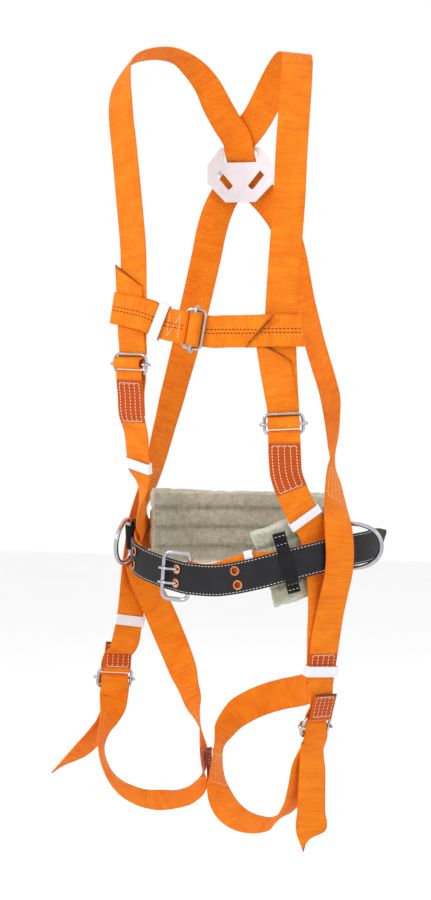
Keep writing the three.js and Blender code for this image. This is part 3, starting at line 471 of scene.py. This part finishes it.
def smooth_through(knots, points, places):
    """Points on a curve through the rows, with tangents limited by the row spacing."""
    tangents = np.gradient(points, knots, axis=0)
    out = np.empty((len(places), 3))
    spans = np.clip(np.searchsorted(knots, places, side="right") - 1, 0, len(knots) - 2)
    for i, (place, k) in enumerate(zip(places, spans)):
        width = knots[k + 1] - knots[k]
        t = min(1.0, max(0.0, (place - knots[k]) / width))
        a, b = points[k], points[k + 1]
        ta, tb = tangents[k] * width, tangents[k + 1] * width
        out[i] = ((2 * t**3 - 3 * t**2 + 1) * a + (t**3 - 2 * t**2 + t) * ta
                  + (-2 * t**3 + 3 * t**2) * b + (t**3 - t**2) * tb)
    return out


def band_mesh(band, across=5, offset=0.0, narrow=0.0, sewn=(), burnt=()):
    """A grid laid on a band, with its tape UVs in metres, its sewn fields and its melted ends."""
    places = band.u
    made = bmesh.new()
    bmesh.ops.create_grid(made, x_segments=across, y_segments=len(places) - 1, size=1.0)
    made.verts.ensure_lookup_table()
    uv_layer = made.loops.layers.uv.new("tape")
    sewn_layer = made.verts.layers.float.new("sewn")
    burnt_layer = made.verts.layers.float.new("burnt")
    tape = {}
    for vert in made.verts:
        s = (vert.co.x + 1) / 2
        row = round((vert.co.y + 1) / 2 * (len(places) - 1))
        u = places[row]
        left, right = band.left[row], band.right[row]
        width = np.linalg.norm(right - left)
        inset = narrow / width
        place = left + (right - left) * (inset + s * (1 - 2 * inset))
        if offset:
            place = place + band.at(u)[3] * offset
        tape[vert.index] = (u, (s - 0.5) * (width - 2 * narrow))
        vert[sewn_layer] = 1.0 if any(a <= u <= b for a, b in sewn) else 0.0
        near_end = max([1 - min(abs(u - end), 3 * MM) / (3 * MM) for end in burnt] + [0])
        vert[burnt_layer] = near_end
        vert.co = Vector(place)
    for face in made.faces:
        for loop in face.loops:
            loop[uv_layer].uv = tape[loop.vert.index]
    return made


def make_band(name, material, slot, sewn=(), melt=True):
    """The strap as one woven band with rounded edges."""
    band = bands.get(name) or Band(name)
    made = band_mesh(band, sewn=sewn, burnt=(0.0, band.length) if melt else ())
    piece = finish_piece(made, name + "_band", [material])
    wall = piece.modifiers.new("thickness", "SOLIDIFY")
    wall.thickness = band.thickness * 0.96
    wall.offset = 0
    wall.use_even_offset = False
    add_bevel(piece, band.thickness * 0.36, 2, 60)
    hold(piece, slot, name)
    return band, piece


# ---------- Stitches ----------

class Threads:
    """Rows of stitches collected into one piece."""

    def __init__(self, name, material, slot, body="root"):
        self.name, self.material, self.slot, self.body = name, material, slot, body
        self.made = bmesh.new()

    def stitch(self, middle, along, out, length, thick):
        """One stitch: a stretched ball, sunk a little in the cloth."""
        side = np.cross(out, along)
        turn = Matrix((along, side, out)).transposed()
        matrix = Matrix.Translation(Vector(middle)) @ turn.to_4x4() @ Matrix.Diagonal(
            (length / 2, thick / 2, thick * 0.32, 1))
        bmesh.ops.create_icosphere(self.made, subdivisions=1, radius=1.0, matrix=matrix)

    def run(self, points, outs, pitch=5 * MM, length=3.6 * MM, thick=0.9 * MM, clear_of=None, room=0.0):
        """Stitches along a line of points, with room left round a part that moves."""
        points = np.array(points)
        outs = np.array(outs)
        walk = np.concatenate([[0], np.cumsum(np.linalg.norm(np.diff(points, axis=0), axis=1))])
        count = int(walk[-1] / pitch)
        for k in range(count):
            here = (k + 0.5) * walk[-1] / count
            ends = [np.array([np.interp(here + d, walk, points[:, i]) for i in range(3)])
                    for d in (-length / 2, length / 2)]
            if clear_of is not None and np.linalg.norm((ends[0] + ends[1]) / 2 - clear_of) < room:
                continue
            out = unit(np.array([np.interp(here, walk, outs[:, i]) for i in range(3)]))
            along = unit(ends[1] - ends[0])
            out = unit(out - along * np.dot(out, along))
            self.stitch((ends[0] + ends[1]) / 2, along, out, length, thick)

    def done(self):
        piece = finish_piece(self.made, self.name, [self.material])
        return hold(piece, self.slot, body=self.body)


def lines_on(band, low, high, lanes, lift, side):
    """Lines along a band at distances from its middle, on the side that side points to."""
    places = np.linspace(low, high, max(4, int((high - low) / (4 * MM))))
    runs = []
    for lane in lanes:
        points, outs = [], []
        for u in places:
            middle, along, across, out, width = band.at(u)
            out = out * side
            points.append(middle + across * lane + out * lift)
            outs.append(out)
        runs.append((points, outs))
    return runs


# ---------- Webbing ----------


def outward(point):
    """Level, away from the wearer's middle."""
    away = np.array((point[0], point[1] + 0.01, 0.0))
    return unit(away)


def top_ply(band, target, reach=26 * MM):
    """The distance along of the outermost ply that passes near a target point."""
    target = np.array(target)
    away = outward(target)
    middle = (band.left + band.right) / 2
    gaps = middle - target
    level = gaps - np.outer(gaps @ away, away)
    score = gaps @ away - 3.0 * np.linalg.norm(level, axis=1)
    score[np.linalg.norm(gaps, axis=1) > reach * 2] = -1e9
    return float(band.u[int(np.argmax(score))])


# The node each strap begins at, and its sewn fields: how far along they start and end, and their thread.
BEGINS = {
    "shoulder_strap_right": "leg_buckle_left_frame", "shoulder_strap_left": "leg_buckle_right_frame",
    "front_strap_right": "shoulder_adjuster_right_frame", "front_strap_left": "shoulder_adjuster_left_frame",
    "leg_strap_right": "side_d_ring_right", "leg_strap_left": "keeper_leg_left",
}
SEWN_FIELDS = [
    ("front_strap_right", 84 * MM, 138 * MM, "white"),
    ("front_strap_left", 88 * MM, 150 * MM, "white"),
    ("shoulder_strap_right", 4 * MM, 33 * MM, "white"),
    ("shoulder_strap_right", 122 * MM, 140 * MM, "white"),
    ("shoulder_strap_right", 372 * MM, 420 * MM, "peach"),
    ("shoulder_strap_left", 4 * MM, 36 * MM, "white"),
    ("shoulder_strap_left", 328 * MM, 360 * MM, "peach"),
    ("leg_strap_left", 247 * MM, 290 * MM, "peach"),
    ("leg_strap_right", 306 * MM, 340 * MM, "white"),
    ("crotch_link", 6 * MM, 52 * MM, "white"),
    ("crotch_link", 64 * MM, 110 * MM, "white"),
]
TAPE = ["shoulder_strap_right", "shoulder_strap_left", "front_strap_right", "front_strap_left",
        "leg_strap_right", "leg_strap_left", "crotch_link", "chest_strap_right", "chest_strap_left",
        "belt_webbing"]
fields = {}
for tape in TAPE:
    bands[tape] = Band(tape, begins=BEGINS.get(tape))
for tape, low, high, thread in SEWN_FIELDS:
    fields.setdefault(tape, []).append((low, min(high, bands[tape].length - 4 * MM), thread))
for tape in TAPE:
    make_band(tape, ORANGE, "orange_webbing",
              sewn=[(a - 4 * MM, b + 4 * MM) for a, b, thread in fields.get(tape, []) if thread == "white"])

white_rows = Threads("white_stitches", WHITE_THREAD, "orange_webbing")
peach_rows = Threads("peach_stitches", PEACH_THREAD, "orange_webbing")
dark_rows = Threads("dark_stitches", DARK_THREAD, "orange_webbing")
for tape, spans in fields.items():
    band = bands[tape]
    for low, high, thread in spans:
        rows = peach_rows if thread == "peach" else white_rows
        half = band.at((low + high) / 2)[4] / 2 - 5 * MM
        lanes = np.linspace(-half, half, 5)
        for side in (1.0, -1.0):
            for points, outs in lines_on(band, low, high, lanes, band.thickness * 0.5, side):
                rows.run(points, outs, pitch=4.2 * MM, length=3.6 * MM, thick=1.2 * MM)
            for end in (low, high):
                centre, along, across, out, width = band.at(end)
                line = [centre + across * v + out * side * band.thickness * 0.5 for v in lanes]
                rows.run(line, [out * side] * 5, pitch=4.2 * MM, length=3.8 * MM, thick=1.3 * MM)

for tape in ("chest_strap_right", "chest_strap_left"):
    band = bands[tape]
    for side in (1.0, -1.0):
        lanes = (-2.6 * MM, 2.6 * MM)
        for points, outs in lines_on(band, 4 * MM, band.length - 4 * MM, lanes, band.thickness * 0.5, side):
            dark_rows.run(points, outs, pitch=5.2 * MM, length=4.2 * MM, thick=1.6 * MM,
                          clear_of=near("chest_buckle_slider"), room=15 * MM)
band = bands["chest_strap_right"]
start = top_ply(band, near("keeper_chest") + np.array((0.024, -0.004, 0.0)))
centre, along, across, out, width = band.at(start)
side = 1.0 if np.dot(out, outward(centre)) > 0 else -1.0
half = width / 2 - 6 * MM
letter = [(-9, -1), (-9, 1), (9, -1), (9, 1)]
for (a, b), (c, d) in zip(letter, letter[1:]):
    ends = [centre + along * p * MM + across * q * half + out * side * band.thickness * 0.5
            for p, q in ((a, b), (c, d))]
    line = [ends[0] + (ends[1] - ends[0]) * t for t in np.linspace(0, 1, 6)]
    white_rows.run(line, [out * side] * 6, pitch=4.0 * MM, length=3.4 * MM, thick=1.0 * MM)

# ---------- Leather ----------

leather = Band("leather_strap", step=2 * MM)
leather_mid = leather.at(leather.length * 0.5)
leather_side = 1.0 if np.dot(leather_mid[3], outward(leather_mid[0])) > 0 else -1.0
eyelets = [near(n) for n in bodies if n.startswith("grommet")]


def hide_layer(name, material, thick, middle, narrow):
    """One layer of the strap, with its eyelet holes punched."""
    made = band_mesh(leather, across=20, offset=middle * leather_side, narrow=narrow)
    punched = [f for f in made.faces
               if any((np.linalg.norm(np.array(f.calc_center_median()) - e) < 5.6 * MM) for e in eyelets)]
    bmesh.ops.delete(made, geom=punched, context="FACES")
    piece = finish_piece(made, name, [material])
    wall = piece.modifiers.new("thickness", "SOLIDIFY")
    wall.thickness = thick
    wall.offset = 0
    add_bevel(piece, thick * 0.4, 3, 60)
    return piece


hold(hide_layer("leather_face", LEATHER, 2.0 * MM, 0.5 * MM, 0.0), "black_leather", "leather_strap")
hold(hide_layer("leather_lining", LINING, 0.9 * MM, -0.98 * MM, 0.6 * MM), "black_leather", body="root")
leather_rows = Threads("leather_stitches", WHITE_THREAD, "black_leather")
edge = leather_mid[4] / 2 - 2.6 * MM
for points, outs in lines_on(leather, 4 * MM, leather.length - 4 * MM, (-edge, edge), 1.5 * MM, leather_side):
    leather_rows.run(points, outs, pitch=5.0 * MM, length=3.9 * MM, thick=1.0 * MM)

# ---------- Black webbing tabs and belt loops ----------

for name in [n for n in bodies if n.startswith("belt_loop") or n.startswith("d_ring_tab")]:
    band, piece = make_band(name, BLACK_TAPE, "black_webbing", melt=False)
    bands[name] = band
    if name.startswith("belt_loop"):
        for u in (5 * MM, 17 * MM, band.length - 17 * MM, band.length - 5 * MM):
            centre, along, across, out, width = band.at(u)
            out = out * (1.0 if np.dot(out, outward(centre)) > 0 else -1.0)
            ends = np.linspace(-width / 2 + 1 * MM, width / 2 - 1 * MM, 6)
            line = [centre + across * v + out * band.thickness * 0.5 for v in ends]
            white_rows.run(line, [out] * 6, pitch=4.2 * MM, length=3.8 * MM, thick=1.0 * MM)

# ---------- Metal ----------


def smoothed_node(name, material, slot, bevel=0.0, swell=0.28 * MM):
    """A node's own shape: rounded edges on flat faces where bevel is given, or else smoothed wire."""
    made = merged_copy(name)
    if bevel:
        bmesh.ops.dissolve_limit(made, angle_limit=math.radians(0.5), verts=made.verts, edges=made.edges)
    else:
        bmesh.ops.join_triangles(made, faces=made.faces, angle_face_threshold=math.radians(60),
                                 angle_shape_threshold=math.radians(60))
        made.normal_update()
        for vert in made.verts:
            vert.co += vert.normal * swell
    piece = finish_piece(made, name + "_finished", [material], smooth=True)
    if bevel:
        add_bevel(piece, bevel, 3, 32)
        normals = piece.modifiers.new("even_shading", "WEIGHTED_NORMAL")
        normals.keep_sharp = True
    else:
        smooth = piece.modifiers.new("smooth", "SUBSURF")
        smooth.levels = smooth.render_levels = 1
    return hold(piece, slot, name)


WIRE = [n for n in bodies if n.endswith("_frame") or n.startswith("prong") or n.endswith("_slider")]
for name in WIRE:
    smoothed_node(name, ZINC, "zinc_wire")
for name in ("side_d_ring_right", "side_d_ring_left", "dorsal_d_ring"):
    smoothed_node(name, ZINC, "forged_ring", swell=0.3 * MM)
for name in [n for n in bodies if n.startswith("grommet")]:
    smoothed_node(name, COPPER, "copper_eyelet", bevel=0.18 * MM)

# ---------- White plastic ----------

for name in [n for n in bodies if n.startswith("keeper")]:
    smoothed_node(name, WHITE, "white_keeper", bevel=0.6 * MM)
smoothed_node("dorsal_plate", WHITE, "white_plate", bevel=1.0 * MM)

# ---------- Back cushion ----------

cushion_band = Band("back_cushion", step=5 * MM)
cushion_mid = cushion_band.at(cushion_band.length * 0.5)
cushion_side = 1.0 if np.dot(cushion_mid[3], outward(cushion_mid[0])) > 0 else -1.0
QUILT_LANES = (-28 * MM, 0.0, 28 * MM)


def cushion_core():
    """The pad's own solid, as even small squares."""
    made = merged_copy("back_cushion")
    piece = finish_piece(made, "cushion_core", [CANVAS])
    squares = piece.modifiers.new("squares", "REMESH")
    squares.mode = "VOXEL"
    squares.voxel_size = 5 * MM
    return baked(piece)


def baked(piece):
    """The piece with its modifiers applied."""
    depsgraph = bpy.context.evaluated_depsgraph_get()
    mesh = bpy.data.meshes.new_from_object(piece.evaluated_get(depsgraph))
    piece.modifiers.clear()
    old = piece.data
    piece.data = mesh
    bpy.data.meshes.remove(old)
    return piece


def blown(piece, cap):
    """The piece swelled by air pressure inside its cloth, with how far a point may move capped."""
    rest = np.array([v.co for v in piece.data.vertices])
    cloth = piece.modifiers.new("cloth", "CLOTH")
    settings = cloth.settings
    settings.use_pressure = True
    settings.uniform_pressure_force = 4.0
    settings.effector_weights.gravity = 0
    settings.mass = 0.3
    scene = bpy.context.scene
    for number in range(1, 21):
        scene.frame_set(number)
    depsgraph = bpy.context.evaluated_depsgraph_get()
    swelled = piece.evaluated_get(depsgraph).to_mesh()
    moved = np.array([v.co for v in swelled.vertices]) - rest
    piece.modifiers.clear()
    scene.frame_set(1)
    far = np.linalg.norm(moved, axis=1)
    moved *= (np.minimum(far, cap) / np.maximum(far, 1e-9))[:, None]
    for vert, shift in zip(piece.data.vertices, moved):
        vert.co = vert.co + Vector(shift)
    return piece


cushion = cushion_core()
cushion = blown(cushion, 5 * MM)
subdivided = cushion.modifiers.new("finer", "SUBSURF")
subdivided.levels = subdivided.render_levels = 1
cushion = baked(cushion)


def quilt(piece, band):
    """Sewn channels pressed into the pad on both faces, flat hems, and soft puckers beside each line."""
    middle = (band.left + band.right) / 2
    across = band.right - band.left
    widths = np.linalg.norm(across, axis=1)
    across = across / widths[:, None]
    hem = set()
    for vert in piece.data.vertices:
        point = np.array(vert.co)
        i = int(np.argmin(np.linalg.norm(middle - point, axis=1) ** 2))
        v = float(np.dot(point - middle[i], across[i]))
        out = band.at(band.u[i])[3]
        depth = float(np.dot(point - middle[i], out))
        press = 0.0
        for lane in QUILT_LANES:
            pucker = 1 + 0.35 * math.sin(band.u[i] / (9 * MM) * 2 * math.pi + lane * 900)
            press = max(press, 0.66 * math.exp(-((v - lane) / (3.4 * MM * pucker)) ** 2))
        rim = abs(v) - (widths[i] / 2 - 9 * MM)
        if rim > 0:
            press = max(press, 0.55 * min(1.0, rim / (4 * MM)))
        ends = min(band.u[i], band.length - band.u[i])
        if ends < 12 * MM:
            press = max(press, 0.5 * (1 - ends / (12 * MM)))
        if rim > 0 or ends < 9 * MM:
            hem.add(vert.index)
        crease = 0.35 * MM * math.sin(band.u[i] * 310 + v * 90) * math.sin(v * 260 + band.u[i] * 40)
        new_depth = depth * (1 - press) + crease * (1 if depth > 0 else -1)
        vert.co = Vector(point + out * (new_depth - depth))
    piece.data.materials.append(HEM)
    for face in piece.data.polygons:
        face.material_index = 1 if hem.issuperset(face.vertices) else 0
        face.use_smooth = True


quilt(cushion, cushion_band)
cushion.name = "back_cushion_pad"
hold(cushion, "canvas_pad", "back_cushion")
quilt_rows = Threads("quilt_stitches", CANVAS_THREAD, "canvas_pad")
for facing in (cushion_side, -cushion_side):
    for lane in QUILT_LANES:
        for points, outs in lines_on(
                cushion_band, 14 * MM, cushion_band.length - 14 * MM, (lane,), 2.6 * MM, facing):
            quilt_rows.run(points, outs, pitch=5.6 * MM, length=4.2 * MM, thick=0.9 * MM)

for rows in (white_rows, peach_rows, dark_rows, leather_rows, quilt_rows):
    rows.done()

# ---------- Floor, light and camera ----------


def make_floor():
    made = bmesh.new()
    bmesh.ops.create_grid(made, x_segments=2, y_segments=2, size=6.0,
                          matrix=Matrix.Translation((0, 0, -1.34)))
    material, tree, shader = new_material("pale_floor")
    place = add(tree, "TexCoord")
    cloudy = add(tree, "TexNoise", n0=place.outputs["Object"], Scale=2.0, Detail=2.0)
    tree.links.new(mixed(tree, cloudy.outputs[0], (0.9, 0.9, 0.9, 1), (0.94, 0.94, 0.94, 1)),
                   shader.inputs["Base Color"])
    shader.inputs["Roughness"].default_value = 0.9
    finish_piece(made, "floor", [material])


def make_light(name, place, aim, size, power):
    lamp = bpy.data.lights.new(name, "AREA")
    lamp.shape = "DISK"
    lamp.size = size
    lamp.energy = power
    light = bpy.data.objects.new(name, lamp)
    light.location = place
    light.rotation_euler = (Vector(aim) - Vector(place)).to_track_quat("-Z", "Y").to_euler()
    collection.objects.link(light)


make_floor()
make_light("key", (-1.7, -2.4, 1.2), (0, 0, -0.55), 1.0, 34)
make_light("fill", (2.2, -1.8, 0.2), (0, 0, -0.6), 1.4, 8)
make_light("back", (0.4, 2.4, 1.2), (0, 0, -0.5), 1.6, 12)
world = bpy.data.worlds.new("soft_room")
world.use_nodes = True
world.node_tree.nodes["Background"].inputs[0].default_value = (1, 1, 1, 1)
world.node_tree.nodes["Background"].inputs[1].default_value = 1.0
bpy.context.scene.world = world
bpy.context.scene.view_settings.view_transform = "Standard"

camera_data = bpy.data.cameras.new("camera")
camera_data.lens = 90.1
camera_data.sensor_fit = "VERTICAL"
camera_data.sensor_height = 36
camera = bpy.data.objects.new("camera", camera_data)
camera.location = (0.812, -3.121, -0.397)
camera.rotation_euler = Vector((-0.2585, 0.9646, -0.0523)).to_track_quat("-Z", "Y").to_euler()
collection.objects.link(camera)
bpy.context.scene.camera = camera
